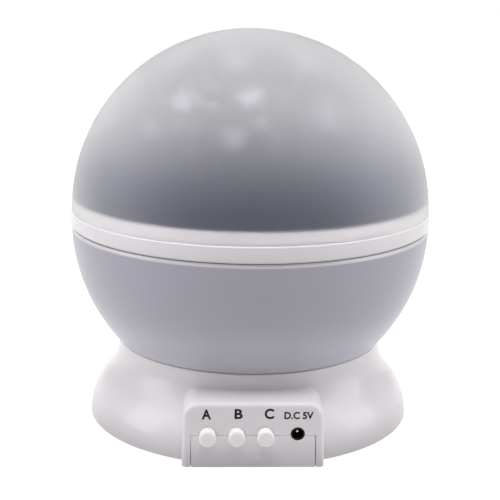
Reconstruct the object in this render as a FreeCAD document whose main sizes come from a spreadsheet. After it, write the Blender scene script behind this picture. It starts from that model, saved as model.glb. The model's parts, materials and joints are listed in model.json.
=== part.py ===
import FreeCAD, Part
import math
import os
import re
import Sketcher
from FreeCAD import Placement, Rotation, Vector

# A rotating star projector night light. The origin is on the axis that the globe turns about, at the
# height the rubber feet stand on. +Z is up, and the control box with its buttons faces -Y.
# All lengths are in millimetres.

doc = FreeCAD.newDocument("StarProjector")

# ---------------------------------------------------------------- driving dimensions

DRIVING = [
    # globe
    ("globe_radius", 62.5, "outside of the frosted cover"),
    ("globe_centre", 73.7, "height of the cover's centre"),
    ("cover_wall", 1.6, "frosted cover"),
    ("seam", 0.05, "play under the lift-off cover and over the thrust washers"),
    ("collar_radius", 62.95, "outside of the collar"),
    ("collar_bottom", 69.15, ""),
    ("collar_top", 74.6, ""),
    ("collar_bow", 22.0, "radius of its slightly bowed face"),
    ("collar_round", 0.3, "softened edge just under the cover"),
    ("spigot_radius", 60.4, "ring that the cover drops over"),
    ("spigot_bore", 58.9, ""),
    ("spigot_top", 78.9, ""),
    ("ledge_bore", 56.5, "inner edge of the collar's ledge"),
    ("bowl_radius", 62.6, "outside of the lower bowl"),
    ("bowl_centre", 69.96, ""),
    ("bowl_wall", 2.4, ""),
    ("bowl_rim", 69.1, ""),
    ("rim_tall", 1.3, "height of the rounded rim under the collar"),
    ("rim_deep", 0.7, ""),
    ("shoulder_height", 28.3, "where the bowl steps in over the base's lip"),
    ("neck_radius", 44.6, "bowl below its shoulder"),
    ("bowl_bottom", 19.45, ""),
    ("bowl_floor", 2.35, ""),
    ("hub_radius", 9.8, ""),
    ("hub_top", 27.45, ""),
    ("deck_bottom", 69.5, ""),
    ("deck_thick", 1.5, ""),
    ("deck_radius", 58.4, ""),
    ("deck_hole", 12.0, ""),
    ("deck_screw_circle", 53.0, "radius of the deck's screw circle"),
    ("dome_radius", 58.0, "outside of the star dome"),
    ("dome_wall", 1.2, ""),
    ("dome_flange", 58.7, ""),
    # base
    ("foot_proud", 0.7, "how far the rubber feet stand below the shell"),
    ("foot_radius", 3.95, ""),
    ("foot_across", 23.75, "foot centre from the middle, sideways"),
    ("foot_along", 41.1, "foot centre from the middle, front to back"),
    ("skirt_radius", 57.05, "outside of the base at its bottom edge"),
    ("skirt_wall", 2.0, ""),
    ("skirt_bulge", 23.2, "radius of the lower, outward curve"),
    ("skirt_hollow", 17.92, "radius of the upper, inward curve"),
    ("turn_height", 15.21, "where the two curves meet"),
    ("turn_radius", 51.08, ""),
    ("lip_radius", 46.44, ""),
    ("lip_top", 27.9, ""),
    ("lip_round", 0.3, ""),
    ("dish_radius", 45.2, "well that the bowl turns in"),
    ("dish_top", 17.6, ""),
    ("dish_thick", 2.0, ""),
    ("plate_thick", 2.4, "bottom cover"),
    ("plate_radius", 54.5, ""),
    # control box
    ("box_front", 58.1, "distance of the front face from the axis"),
    ("box_half", 23.0, "half width at the bottom"),
    ("box_draft", 1.6, "lean of each side, in degrees"),
    ("box_top", 22.4, "height of the front top edge"),
    ("box_corner", 5.0, ""),
    ("box_edge", 1.5, "rounding of the front edges"),
    ("box_wall", 1.8, ""),
    ("box_depth", 15.2, ""),
    ("roof_slope", 0.02, "rise of the roof for each millimetre to the back"),
    ("panel_half", 19.95, "half width of the lower front panel"),
    ("panel_gap", 0.25, "gap along the panel's right side and beside its left foot"),
    ("panel_seam", 0.08, "gap above the panel and beside its top left corner"),
    ("panel_bevel", 0.2, ""),
    ("parting", 11.55, "height of the line between shell and panel"),
    ("button_radius", 2.73, ""),
    ("button_play", 0.1, ""),
    ("button_pitch", 9.25, ""),
    ("button_middle", 5.34, "second button, left of the middle"),
    ("button_proud", 3.5, ""),
    ("button_flange", 3.4, ""),
    ("button_round", 1.03, "broad soft edge of the button's face"),
    ("board_front", 51.2, "distance of the control board's front from the axis"),
    ("board_thick", 1.4, ""),
    ("switch_side", 4.5, ""),
    ("switch_deep", 3.2, ""),
    ("plunger_radius", 1.52, ""),
    ("jack_across", 14.25, ""),
    ("jack_height", 12.05, ""),
    ("jack_bore", 1.8, "takes a plug of 3.5 mm"),
    ("jack_nose", 2.2, ""),
    ("jack_pin", 0.65, "centre pin, 1.3 mm thick"),
    ("jack_pin_long", 7.7, ""),
    ("jack_rear", 47.7, "distance of the socket's floor from the axis"),
    # batteries
    ("cell_radius", 5.25, "AAA cell"),
    ("cell_length", 44.5, ""),
    ("cell_height", 8.05, ""),
    ("cell_inner", 11.4, ""),
    ("cell_outer", 22.6, ""),
    ("bay_inner", 5.9, ""),
    ("bay_outer", 28.1, ""),
    ("bay_half", 26.4, ""),
    ("bay_top", 13.7, ""),
    ("bay_wall", 1.4, ""),
    ("spring_wire", 0.3, "radius of the spring's wire"),
    ("spring_wide", 3.6, "radius of the coil at the contact plate"),
    ("spring_narrow", 2.0, "radius of the coil at the cell"),
    ("door_across", 30.8, "half width of the battery door"),
    ("door_along", 33.8, ""),
    ("door_thick", 1.6, ""),
    ("door_play", 0.2, ""),
    ("door_corner", 3.0, ""),
    ("door_screw_x", 18.0, ""),
    ("door_screw_y", 31.0, ""),
    # fixed core
    ("post_radius", 7.0, ""),
    ("post_bore", 4.0, ""),
    ("post_top", 30.2, ""),
    ("post_flange", 15.0, ""),
    ("flange_thick", 1.2, ""),
    ("hub_play", 0.06, "running clearance of the hub on the post"),
    ("washer_thick", 0.6, ""),
    ("platform_radius", 42.0, ""),
    ("platform_thick", 2.0, ""),
    ("tower_radius", 10.0, ""),
    ("tower_wall", 1.5, ""),
    ("tower_top", 70.5, ""),
    ("motor_radius", 12.0, ""),
    ("motor_tall", 15.0, ""),
    ("shaft_radius", 1.0, ""),
    ("shaft_play", 0.05, ""),
    # gears
    ("gear_module", 0.8, ""),
    ("gear_teeth", 60, ""),
    ("pinion_teeth", 15, ""),
    ("gear_thick", 5.0, ""),
    ("backlash", 0.16, ""),
    # wires
    ("wire_radius", 0.4, ""),
]

sizes = doc.addObject("Spreadsheet::Sheet", "Sizes")
for row, (alias, number, note) in enumerate(DRIVING, start=1):
    sizes.set(f"A{row}", alias.replace("_", " "))
    sizes.set(f"B{row}", str(number))
    sizes.setAlias(f"B{row}", alias)
    sizes.set(f"C{row}", note)
doc.recompute()

ALIAS = re.compile(r"(?<![\w.])([a-z][a-z0-9_]*)(?![a-z0-9_]*\()")


def bound(text):
    """The expression with every alias in it read from the Sizes sheet."""
    return ALIAS.sub(r"Sizes.\1", str(text))


def value(text):
    """What the expression comes to, in millimetres."""
    return float(sizes.evalExpression(bound(text)))


def bind(thing, **fields):
    """Bind properties of a document object to expressions of the sheet."""
    for field, text in fields.items():
        thing.setExpression(field, bound(text))
    return thing


def place(thing, x="0", y="0", z="0", turn=None):
    if turn:
        thing.Placement = Placement(Vector(), turn)
    thing.setExpression("Placement.Base.x", bound(x))
    thing.setExpression("Placement.Base.y", bound(y))
    thing.setExpression("Placement.Base.z", bound(z))
    return thing


# ---------------------------------------------------------------- building helpers

FORWARD = Rotation(Vector(1, 0, 0), 90)  # turns +Z to -Y, the way the buttons face


def rod(name, radius, length, x="0", y="0", z="0", turn=None):
    thing = doc.addObject("Part::Cylinder", name)
    return place(bind(thing, Radius=radius, Height=length), x, y, z, turn)


def taper(name, bottom, top, length, x="0", y="0", z="0", turn=None):
    thing = doc.addObject("Part::Cone", name)
    return place(bind(thing, Radius1=bottom, Radius2=top, Height=length), x, y, z, turn)


def block(name, west, east, front, back, low, high):
    thing = doc.addObject("Part::Box", name)
    bind(thing, Length=f"({east}) - ({west})", Width=f"({back}) - ({front})", Height=f"({high}) - ({low})")
    return place(thing, west, front, low)


def joined(name, pieces):
    thing = doc.addObject("Part::MultiFuse", name)
    thing.Shapes = pieces
    return thing


def shared(name, pieces):
    thing = doc.addObject("Part::MultiCommon", name)
    thing.Shapes = pieces
    return thing


def less(name, base, tools):
    thing = doc.addObject("Part::Cut", name)
    thing.Base = base
    thing.Tool = tools[0] if len(tools) == 1 else grouped(name + "_tools", tools)
    return thing


def grouped(name, pieces):
    thing = doc.addObject("Part::Compound", name)
    thing.Links = pieces
    return thing


def sketchOn(body, name, role, offset=None):
    sketch = body.newObject("Sketcher::SketchObject", name)
    plane = next(item for item in body.Origin.OriginFeatures if item.Role == role)
    sketch.AttachmentSupport = (plane, [""])
    sketch.MapMode = "FlatFace"
    if offset:
        sketch.setExpression("AttachmentOffset.Base.z", bound(offset))
    return sketch


def arcBetween(start, end, radius, side):
    """The smaller arc from start to end, its centre to the left (side 1) or right (side -1) of the way."""
    chord = end - start
    middle = (start + end) * 0.5
    left = Vector(-chord.y, chord.x, 0).normalize()
    reach = math.sqrt(max(radius**2 - (chord.Length / 2) ** 2, 0))
    centre = middle + left * (side * reach)
    angles = [math.atan2(p.y - centre.y, p.x - centre.x) for p in (start, end)]
    if side < 0:
        angles.reverse()
    circle = Part.Circle(centre, Vector(0, 0, 1), radius)
    return Part.ArcOfCircle(circle, angles[0], angles[1])


def outline(sketch, corners):
    """Close an outline through the corners. A corner is (x, y), or (x, y, radius, side) before an arc."""
    spots = [Vector(value(corner[0]), value(corner[1]), 0) for corner in corners]
    ends = []
    for index, corner in enumerate(corners):
        start = spots[index]
        end = spots[(index + 1) % len(spots)]
        if len(corner) == 4:
            arc = arcBetween(start, end, value(corner[2]), corner[3])
            edge = sketch.addGeometry(arc, False)
            ends.append((edge, 1, 2) if corner[3] > 0 else (edge, 2, 1))
        else:
            edge = sketch.addGeometry(Part.LineSegment(start, end), False)
            ends.append((edge, 1, 2))
    for index, (edge, first, last) in enumerate(ends):
        following = ends[(index + 1) % len(ends)]
        sketch.addConstraint(Sketcher.Constraint("Coincident", edge, last, following[0], following[1]))
    for (edge, first, last), corner, spot in zip(ends, corners, spots):
        across = sketch.addConstraint(Sketcher.Constraint("DistanceX", -1, 1, edge, first, spot.x))
        sketch.setExpression(f"Constraints[{across}]", bound(corner[0]))
        upward = sketch.addConstraint(Sketcher.Constraint("DistanceY", -1, 1, edge, first, spot.y))
        sketch.setExpression(f"Constraints[{upward}]", bound(corner[1]))
        if len(corner) == 4:
            bend = sketch.addConstraint(Sketcher.Constraint("Radius", edge, value(corner[2])))
            sketch.setExpression(f"Constraints[{bend}]", bound(corner[2]))


def turned(name, corners):
    """A body turned about its own Z axis from a half section of (radius, height) corners."""
    body = doc.addObject("PartDesign::Body", name)
    section = sketchOn(body, name + "_section", "XZ_Plane")
    outline(section, corners)
    feature = body.newObject("PartDesign::Revolution", name + "_turning")
    feature.Profile = section
    feature.ReferenceAxis = (section, ["V_Axis"])
    feature.Angle = 360
    return body


def raised(name, corners, low, tall):
    """A body raised from a flat outline seen from above."""
    body = doc.addObject("PartDesign::Body", name)
    plan = sketchOn(body, name + "_plan", "XY_Plane", low)
    outline(plan, corners)
    feature = body.newObject("PartDesign::Pad", name + "_pad")
    feature.Profile = plan
    feature.setExpression("Length", bound(tall))
    return body


def facing(name, corners, front, deep):
    """A body from an outline seen from the front, at y = -front, that reaches deep to the back."""
    body = doc.addObject("PartDesign::Body", name)
    view = sketchOn(body, name + "_view", "XZ_Plane", front)
    outline(view, corners)
    feature = body.newObject("PartDesign::Pad", name + "_pad")
    feature.Profile = view
    feature.Reversed = True
    feature.setExpression("Length", bound(deep))
    return body


def roundedPlan(across, along, corner):
    """Corners of a rectangle about the middle, with rounded corners, counter-clockwise."""
    inX, inY = f"{across} - {corner}", f"{along} - {corner}"
    return [
        (f"-({inX})", f"-({along})"),
        (inX, f"-({along})", corner, 1),
        (across, f"-({inY})"),
        (across, inY, corner, 1),
        (inX, along),
        (f"-({inX})", along, corner, 1),
        (f"-({across})", inY),
        (f"-({across})", f"-({inY})", corner, 1),
    ]


def around(count, radius, first=0.0):
    """Places spaced evenly round the axis, as pairs of expressions."""
    turns = [first + 360.0 * index / count for index in range(count)]
    return [(f"({radius}) * cos({turn})", f"({radius}) * sin({turn})") for turn in turns]


def crossRecess(name, radius, deep, x, y, z):
    """The cross that a screwdriver turns, sunk from z along +Z."""
    arm, slot = f"0.62 * ({radius})", f"0.17 * ({radius})"
    bars = [
        block(name + "_bar", f"{x} - {arm}", f"{x} + {arm}", f"{y} - {slot}", f"{y} + {slot}", z, f"{z} + {deep}"),
        block(name + "_bar", f"{x} - {slot}", f"{x} + {slot}", f"{y} - {arm}", f"{y} + {arm}", z, f"{z} + {deep}"),
    ]
    return joined(name, bars)


def panScrew(name, x, y, seat, head, headTall, shank, length, upward=True):
    """A pan-head screw. Its head sits on the seat, above it when upward, and the shank runs the other way."""
    crown = rod(name + "_crown", head, headTall, x, y, seat if upward else f"{seat} - {headTall}")
    stem = rod(name + "_stem", shank, length, x, y, f"{seat} - {length}" if upward else seat)
    top = f"{seat} + 0.45 * {headTall}" if upward else f"{seat} - {headTall}"
    recess = crossRecess(name + "_cross", head, f"0.55 * {headTall}", x, y, top)
    return less(name, joined(name + "_blank", [crown, stem]), [recess])


# ---------------------------------------------------------------- base

baseBottom = "foot_proud"
plateTop = "foot_proud + plate_thick"
dishUnder = "dish_top - dish_thick"
skirtInner = "skirt_radius - skirt_wall"
innerTurnRadius = "turn_radius - skirt_wall * cos(42.1)"
innerTurnHeight = "turn_height - skirt_wall * sin(42.1)"
wallStart = "turn_radius - 1.5 * skirt_wall"
coverScrewSpots = [(sideX, sideY) for sideX in ("38.5", "-38.5") for sideY in ("27", "-27")]
footSpots = [(sideX, sideY) for sideX in ("foot_across", "-foot_across") for sideY in ("foot_along", "-foot_along")]
postScrewSpots = around(3, "11.5", 90)
buttonSpots = [f"button_pitch * {step} - button_middle" for step in (-1, 0, 1)]
boardScrewSpots = ["-button_middle - button_pitch / 2", "(button_pitch - button_middle + jack_across) / 2"]
boardScrewHeight = "parting + 3.7"
boxInner = "-(box_front - box_wall)"


def skirtCurve():
    """The outside of the base from its bottom edge to the lip."""
    return [
        ("skirt_radius", baseBottom, "skirt_bulge", 1),
        ("turn_radius", "turn_height", "skirt_hollow", -1),
        ("lip_radius", "lip_top - lip_round"),
        ("lip_radius - lip_round", "lip_top"),
    ]


def baseShell():
    inside = [
        (wallStart, dishUnder),
        (innerTurnRadius, innerTurnHeight, "skirt_bulge - skirt_wall", -1),
        (skirtInner, baseBottom),
    ]
    shell = turned("shell_wall", skirtCurve() + [
        ("dish_radius", "lip_top"),
        ("dish_radius", "dish_top"),
        ("post_bore + 0.5", "dish_top"),
        ("post_bore + 0.5", dishUnder),
    ] + inside)
    hollow = turned("shell_hollow", [
        ("0", "-10"),
        (skirtInner, "-10"),
        (skirtInner, baseBottom, "skirt_bulge - skirt_wall", 1),
        (innerTurnRadius, innerTurnHeight),
        (wallStart, dishUnder),
        ("dish_radius", dishUnder),
        ("dish_radius", "40"),
        ("0", "40"),
    ])
    housing = less("box_housing", controlBox(), [hollow])
    rooms = [
        block("box_room", "-(panel_half + panel_gap)", "panel_half + panel_gap", boxInner, "-40", "-1", dishUnder),
        block("box_loft", "-(panel_half - 1.4)", "panel_half - 1.4", boxInner, "-47.2", "dish_top - 2.1",
              "box_top - box_wall"),
        panelGate(),
        block("box_underside", "-40", "40", "-80", "-30", "-10", baseBottom),
    ]
    opened = less("opened_shell", joined("closed_shell", [shell, housing]), rooms)
    bosses = [
        rod("cover_boss", "3", f"{dishUnder} - ({plateTop}) + 0.5", x, y, f"{plateTop} + 0.05")
        for x, y in coverScrewSpots
    ]
    bosses += [
        rod("board_boss", "2", "box_front - box_wall - board_front + 0.4", x, "-board_front", boardScrewHeight, FORWARD)
        for x in boardScrewSpots
    ]
    holes = [rod("cover_pilot", "1.25", "10", x, y, plateTop) for x, y in coverScrewSpots]
    holes += [rod("post_pilot", "1.02", "4", x, y, f"{dishUnder} - 1") for x, y in postScrewSpots]
    holes += [
        rod("board_pilot", "0.86", "4.4", x, "-(board_front - 0.1)", boardScrewHeight, FORWARD)
        for x in boardScrewSpots
    ]
    holes += frontHoles("shell")
    return less("base_shell", joined("bossed_shell", [opened] + bosses), holes)


def frontHoles(name):
    """The round openings for the buttons and the jack, on the line between shell and panel."""
    reach, start = "box_wall + 3", "-(box_front - box_wall) + 1.5"
    holes = [
        rod(name + "_button_hole", "button_radius + button_play", reach, x, start, "parting", FORWARD)
        for x in buttonSpots
    ]
    holes.append(rod(name + "_jack_hole", "jack_nose + 0.1", reach, "jack_across", start, "jack_height", FORWARD))
    return holes


def controlBox():
    """The solid block of the control box, tapered upward, its roof rising gently to the back."""
    body = doc.addObject("PartDesign::Body", "control_box")
    front = sketchOn(body, "control_box_front", "XZ_Plane", "box_front")
    low = "foot_proud - 4"
    spread = "box_half + 4 * tan(box_draft)"
    shoulder = "box_top - box_corner + box_corner * sin(box_draft)"
    flank = f"box_half - ({shoulder} - foot_proud) * tan(box_draft)"
    crown = f"{flank} - box_corner * cos(box_draft)"
    outline(front, [
        (f"-({spread})", low),
        (spread, low),
        (flank, shoulder, "box_corner", 1),
        (crown, "box_top"),
        (f"-({crown})", "box_top", "box_corner", 1),
        (f"-({flank})", shoulder),
    ])
    pad = body.newObject("PartDesign::Pad", "control_box_pad")
    pad.Profile = front
    pad.UseCustomVector = True
    pad.Direction = Vector(0, 1, value("roof_slope"))
    pad.setExpression("Direction.z", bound("roof_slope"))
    pad.setExpression("Length", bound("box_depth"))
    doc.recompute()
    face = -value("box_front")
    edges = []
    for number, edge in enumerate(body.Shape.Edges, start=1):
        bounds = edge.BoundBox
        if abs(bounds.YMin - face) < 0.01 and abs(bounds.YMax - face) < 0.01 and bounds.ZMax > 0:
            edges.append(f"Edge{number}")
    rounding = body.newObject("PartDesign::Fillet", "control_box_edges")
    rounding.Base = (pad, edges)
    rounding.setExpression("Radius", bound("box_edge"))
    return body


def panelGate():
    """The opening in the box's face that the front panel fills. Its left side leans out toward the foot."""
    wide = "panel_half + panel_gap"
    corners = [
        ("-(panel_half + panel_seam)", "parting"),
        (f"-({wide})", baseBottom),
        (f"-({wide})", "-1"),
        (wide, "-1"),
        (wide, "parting"),
    ]
    return facing("panel_gate", corners, "box_front + 1", "box_wall + 1.1")


def frontPanel():
    """The lower front of the control box, with a bevel along its top edge."""
    top = "parting - panel_seam"
    corners = [("-panel_half", top), ("-panel_half", baseBottom), ("panel_half", baseBottom), ("panel_half", top)]
    body = facing("front_panel", corners, "box_front", "box_wall")
    pad = body.Tip
    doc.recompute()
    face, height = -value("box_front"), value(top)
    for number, edge in enumerate(body.Shape.Edges, start=1):
        bounds = edge.BoundBox
        if abs(bounds.YMax - face) < 0.01 and abs(bounds.ZMin - height) < 0.01:
            upper = f"Edge{number}"
    bevel = body.newObject("PartDesign::Chamfer", "front_panel_bevel")
    bevel.Base = (pad, [upper])
    bevel.setExpression("Size", bound("panel_bevel"))
    return body


def bottomCover():
    low = baseBottom
    reach = "panel_half + panel_gap - 0.05"
    solid = [
        rod("cover_disc", "plate_radius", "plate_thick", z=low),
        block("cover_tongue", f"-({reach})", reach, f"{boxInner} - 0.5", "-45", low, plateTop),
        frontPanel(),
        block("jack_cradle", "jack_across - 2.6", "jack_across + 2.6", "-(box_front - 2.9)", "-(jack_rear - 0.5)", low,
              "jack_height - 3.2"),
    ]
    hollow = []
    for side in ("", "-"):
        ends = sorted((f"{side}(bay_inner - bay_wall)", f"{side}(bay_outer + bay_wall)"), key=value)
        room = sorted((f"{side}bay_inner", f"{side}bay_outer"), key=value)
        solid.append(block("bay_case", *ends, "-(bay_half + bay_wall)", "bay_half + bay_wall", low, "bay_top + bay_wall"))
        hollow.append(block("bay_room", *room, "-bay_half", "bay_half", "-1", "bay_top"))
    doorSpots = [("door_screw_x", "door_screw_y"), ("-door_screw_x", "-door_screw_y")]
    solid += [rod("door_boss", "2.4", "7.5", x, y, low) for x, y in doorSpots]
    hollow += [rod("door_pilot", "1.05", "6.9", x, y, low) for x, y in doorSpots]
    wider = "door_across + door_play", "door_along + door_play", "door_corner + door_play"
    hollow.append(raised("door_recess", roundedPlan(*wider), "-1", "foot_proud + door_thick + 1"))
    for x, y in coverScrewSpots:
        hollow.append(rod("cover_clearance", "1.3", "6", x, y, "-1"))
        hollow.append(rod("cover_counterbore", "2.25", f"{low} + 2.4", x, y, "-1"))
    hollow += [rod("foot_recess", "foot_radius + 0.05", "foot_proud + 1.8", x, y, "-1") for x, y in footSpots]
    return less("bottom_cover", joined("cover_solid", solid), hollow + frontHoles("panel"))


def rubberFeet():
    feet = []
    for x, y in footSpots:
        tread = taper("foot_tread", "foot_radius - 0.35", "foot_radius", "0.35", x, y, "0")
        stem = rod("foot_stem", "foot_radius", "foot_proud + 0.45", x, y, "0.35")
        feet.append(joined("foot", [tread, stem]))
    return grouped("rubber_feet", feet)


def coverScrews():
    seat = f"{baseBottom} + 1.4"
    screws = [panScrew("cover_screw", x, y, seat, "2.1", "1.2", "1.22", "8.5", upward=False) for x, y in coverScrewSpots]
    return grouped("cover_screws", screws)


def batteryDoor():
    plan = roundedPlan("door_across", "door_along", "door_corner")
    slab = raised("door_slab", plan, baseBottom, "door_thick")
    sinks = []
    for x, y in (("door_screw_x", "door_screw_y"), ("-door_screw_x", "-door_screw_y")):
        sinks.append(taper("door_sink", "2.0", "1.05", "1", x, y, baseBottom))
        sinks.append(rod("door_hole", "1.05", "door_thick + 1", x, y, baseBottom))
    grip = [
        block("door_grip", "-9", "9", f"{spot}", f"{spot} + 0.9", f"{baseBottom} - 0.5", f"{baseBottom} + 0.4")
        for spot in (-27.0, -25.0, -23.0)
    ]
    return less("battery_door", slab, sinks + grip)


def doorScrews():
    screws = []
    for x, y in (("door_screw_x", "door_screw_y"), ("-door_screw_x", "-door_screw_y")):
        head = taper("door_screw_head", "1.95", "1.0", "1", x, y, f"{baseBottom} + 0.02")
        stem = rod("door_screw_stem", "1.0", "6", x, y, f"{baseBottom} + 0.5")
        recess = crossRecess("door_screw_cross", "1.7", "0.6", x, y, baseBottom)
        screws.append(less("door_screw", joined("door_screw_blank", [head, stem]), [recess]))
    return grouped("door_screws", screws)


# ---------------------------------------------------------------- batteries

CELLS = [("-cell_outer", 1), ("-cell_inner", -1), ("cell_inner", 1), ("cell_outer", -1)]  # x, way the button end points
positiveFace = "bay_half - 0.5"


def batteryCells():
    cells = []
    for x, way in CELLS:
        nub, step = "1.0", "0.3"
        back = f"{way} * ({positiveFace}) - {way} * cell_length"
        turn = Rotation(Vector(1, 0, 0), -90 * way)
        can = rod("cell_can", "cell_radius", f"cell_length - {nub} - 2 * {step}", x, f"{back} + {way} * {step}",
                  "cell_height", turn)
        base = rod("cell_base", "cell_radius - 1", step, x, back, "cell_height", turn)
        neck = rod("cell_neck", "cell_radius - 0.8", step, x, f"{way} * ({positiveFace} - {nub} - {step})",
                   "cell_height", turn)
        button = rod("cell_nub", "1.9", nub, x, f"{way} * ({positiveFace} - {nub})", "cell_height", turn)
        cells.append(joined("cell", [can, base, neck, button]))
    return grouped("battery_cells", cells)


def batteryContacts():
    plates = []
    for x, way in CELLS:
        for end in (1, -1):
            near, far = f"{end} * {way} * ({positiveFace})", f"{end} * {way} * (bay_half - 0.1)"
            front, back = sorted((near, far), key=value)
            plates.append(block("contact", f"{x} - 4.2", f"{x} + 4.2", front, back, "cell_height - 4.4",
                                "cell_height + 4.4"))
    return grouped("battery_contacts", plates)


def batterySprings():
    """Conical springs, wide at the contact plate and narrow at the cell, each half turn a tilted half circle."""
    wire, gap, halfTurns = value("spring_wire"), 0.03, 8
    wide, narrow = value("spring_wide"), value("spring_narrow")
    length = 2 * value(positiveFace) - value("cell_length") - 2 * (wire + gap)

    def turnEnd(count):
        reach = wide + (narrow - wide) * count / halfTurns
        return Vector(reach * (-1) ** count, 0, length * count / halfTurns)

    arcs = []
    for count in range(halfTurns):
        start, end = turnEnd(count), turnEnd(count + 1)
        bulge = Vector(0, (end - start).Length / 2 * (-1) ** count, 0)
        arcs.append(Part.Arc(start, (start + end) * 0.5 + bulge, end).toShape())
    section = Part.Wire([Part.makeCircle(wire, turnEnd(0), Vector(0, 1, 0))])
    coil = Part.Wire(arcs).makePipeShell([section], True, True)
    springs = []
    for x, way in CELLS:
        turn = Rotation(Vector(1, 0, 0), -90 * way)
        spring = doc.addObject("Part::Feature", "spring")
        spring.Shape = coil
        foot = f"-{way} * ({positiveFace} - {wire + gap})"
        springs.append(place(spring, x, foot, "cell_height", turn))
    return grouped("battery_springs", springs)


# ---------------------------------------------------------------- control electronics


def controlBoard():
    board = block("board_blank", "-18.3", "11.3", "-board_front", "-(board_front - board_thick)", "3.6", "17.2")
    holes = [rod("board_hole", "0.9", "4", x, "-(board_front - board_thick - 1)", boardScrewHeight, FORWARD)
             for x in boardScrewSpots]
    return less("control_board", board, holes)


def boardScrews():
    screws = []
    for x in boardScrewSpots:
        seat = "-(board_front - board_thick)"
        head = rod("board_head", "1.65", "1.2", x, f"{seat} + 1.2", boardScrewHeight, FORWARD)
        stem = rod("board_stem", "0.84", "5", x, f"{seat} + 0.1", boardScrewHeight, FORWARD)
        screws.append(joined("board_screw", [head, stem]))
    return grouped("board_screws", screws)


def switchBodies():
    cases = []
    for x in buttonSpots:
        half = "switch_side / 2"
        case = block("switch_case", f"{x} - {half}", f"{x} + {half}", "-(board_front + switch_deep)", "-board_front",
                     f"parting - {half}", f"parting + {half}")
        bore = rod("switch_bore", "plunger_radius + 0.08", "3", x, "-(board_front + switch_deep - 1.6)", "parting",
                   FORWARD)
        cases.append(less("switch", case, [bore]))
    return grouped("switch_bodies", cases)


def controlChip():
    back = "-(board_front - board_thick)"
    parts = [block("chip_case", "-6", "-1", f"{back} + 0.1", f"{back} + 1.5", "5.4", "9.4")]
    for step in range(4):
        x = f"-5.4 + 1.27 * {step}"
        for low in ("4.5", "9.4"):
            parts.append(block("chip_leg", x, f"{x} + 0.4", back, f"{back} + 0.5", low, f"{low} + 0.9"))
    return joined("control_chip", parts)


def dcJack():
    half = "2.85"
    case = block("jack_case", f"jack_across - {half}", f"jack_across + {half}", "-(box_front - box_wall - 0.1)",
                 "-(jack_rear - 2)", "jack_height - 3.2", "jack_height + 3.2")
    nose = rod("jack_nose_ring", "jack_nose", "box_wall", "jack_across", "-(box_front - box_wall - 0.2)", "jack_height",
               FORWARD)
    socket = rod("jack_socket", "jack_bore", "20", "jack_across", "-jack_rear", "jack_height", FORWARD)
    tail = rod("jack_tail_hole", "1.0", "6", "jack_across", "-(jack_rear - 4)", "jack_height", FORWARD)
    return less("dc_jack", joined("jack_blank", [case, nose]), [socket, tail])


def dcJackPin():
    tip = "jack_rear + jack_pin_long"
    pieces = [
        rod("pin_tail", "0.98", "3.2", "jack_across", "-(jack_rear - 3.2)", "jack_height", FORWARD),
        rod("pin_stem", "jack_pin", "jack_pin_long", "jack_across", "-jack_rear", "jack_height", FORWARD),
        taper("pin_tip", "jack_pin", "jack_pin - 0.35", "0.35", "jack_across", f"-({tip})", "jack_height", FORWARD),
    ]
    return joined("dc_jack_pin", pieces)


def buttonCap(name, x):
    """A cap with a flange that keeps it behind the panel and a softly broken front edge."""
    rear = "box_front - box_wall - 0.9"
    tip = f"box_front + button_proud - ({rear})"
    cap = turned(name, [
        ("0", "0"),
        ("button_flange", "0"),
        ("button_flange", "0.8"),
        ("button_radius", "0.8"),
        ("button_radius", f"{tip} - 0.55 * button_round", "1.2 * button_round", 1),
        ("button_radius - button_round", tip),
        ("0", tip),
    ])
    return place(cap, x, f"-({rear})", "parting", FORWARD)


def plunger(name, x):
    rear = "box_front - box_wall - 0.9"
    return rod(name, "plunger_radius", f"{rear} - (board_front + 2.4)", x, "-(board_front + 2.4)", "parting", FORWARD)


# ---------------------------------------------------------------- fixed core inside the globe

flangeTop = "dish_top + flange_thick"
platformTop = "post_top + platform_thick"
towerScrewSpots = around(3, "5.3", 30)
ledScrewSpots = [("6.6", "0"), ("-6.6", "0")]
axleDistance = "gear_module * (gear_teeth + pinion_teeth) / 2"
motorScrewSpots = [("15.5", axleDistance), ("-15.5", axleDistance)]
clipBottom = "hub_top + seam + washer_thick + 0.05"


def centrePost():
    post = turned("post_blank", [
        ("post_bore", "dish_top"),
        ("post_flange", "dish_top"),
        ("post_flange", flangeTop),
        ("post_radius", flangeTop),
        ("post_radius", clipBottom),
        ("post_radius - 0.7", clipBottom),
        ("post_radius - 0.7", f"{clipBottom} + 0.9"),
        ("post_radius", f"{clipBottom} + 0.9"),
        ("post_radius", "post_top"),
        ("post_bore", "post_top"),
    ])
    holes = [taper("post_sink", "1.02", "2.05", "1.03", x, y, f"{flangeTop} - 1.03") for x, y in postScrewSpots]
    holes += [rod("post_hole", "1.02", "3", x, y, f"{flangeTop} - 3") for x, y in postScrewSpots]
    holes += [rod("post_pilot", "0.77", "5.6", x, y, "post_top - 5.6") for x, y in towerScrewSpots]
    return less("centre_post", post, holes)


def postScrews():
    screws = []
    for x, y in postScrewSpots:
        head = taper("post_screw_head", "1.0", "2.0", "1", x, y, f"{flangeTop} - 1.02")
        stem = rod("post_screw_stem", "1.0", f"{flangeTop} - ({dishUnder}) - 0.5", x, y, dishUnder)
        recess = crossRecess("post_screw_cross", "1.8", "0.7", x, y, f"{flangeTop} - 0.6")
        screws.append(less("post_screw", joined("post_screw_blank", [head, stem]), [recess]))
    return grouped("post_screws", screws)


def washer(name, low):
    rim = rod(name + "_rim", "9.3", "washer_thick", z=low)
    return less(name, rim, [rod(name + "_eye", "post_radius + 0.1", "4", z=f"{low} - 1")])


def retainingClip():
    low = f"{clipBottom} + 0.04"
    ring = rod("clip_ring", "10", "0.8", z=low)
    eye = rod("clip_eye", "post_radius - 0.65", "4", z=f"{low} - 1")
    gap = block("clip_gap", "-3.4", "3.4", "-12", "-3", f"{low} - 1", f"{low} + 2")
    return less("retaining_clip", ring, [eye, gap])


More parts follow.
